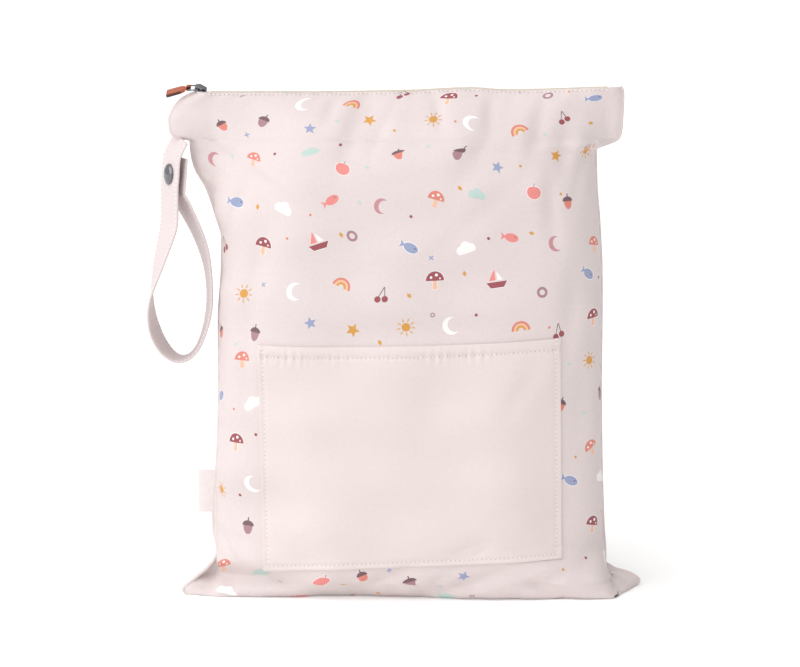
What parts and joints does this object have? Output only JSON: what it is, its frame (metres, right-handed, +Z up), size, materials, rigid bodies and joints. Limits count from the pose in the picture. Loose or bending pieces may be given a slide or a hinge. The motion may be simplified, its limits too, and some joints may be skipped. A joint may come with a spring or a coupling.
{
  "type": "cloth diaper wet bag",
  "caption": "Rectangular zipped cloth wet bag, stuffed full and standing, with a front patch pocket, a snap-closed hanging strap, a zip pull and a blank side label.",
  "frame": {"origin": "middle of the flat base, on the ground", "axes": "+Z up, +X to the right of someone who looks at the pocket, -Y out of the front with the pocket"},
  "size_m": [0.3257, 0.1053, 0.3334],
  "materials": {
    "printed_cotton": "pale pink-beige woven cotton with a scattered print of small figures",
    "plain_cotton": "plain pale pink woven cotton",
    "strap_cotton": "plain pale pink woven cotton, folded and stitched",
    "zip_tape": "cream woven zip tape",
    "zip_coil": "cream nylon coil",
    "gunmetal": "smooth dark gunmetal plating",
    "leather": "rust-brown leather with dark burnished edges",
    "label_tape": "off-white woven tape, blank"
  },
  "bodies": {
    "root": {"bag_body": "printed_cotton", "front_pocket": "plain_cotton", "zip_tape_front": "zip_tape", "zip_tape_back": "zip_tape", "zip_coil": "zip_coil", "zip_slider": "gunmetal", "zip_pull_link": "gunmetal", "zip_pull_tab": "leather", "hanging_strap": "strap_cotton", "snap_cap": "gunmetal", "snap_socket": "gunmetal", "snap_stud": "gunmetal", "snap_back": "gunmetal", "side_label": "label_tape"}
  },
  "joints": []
}
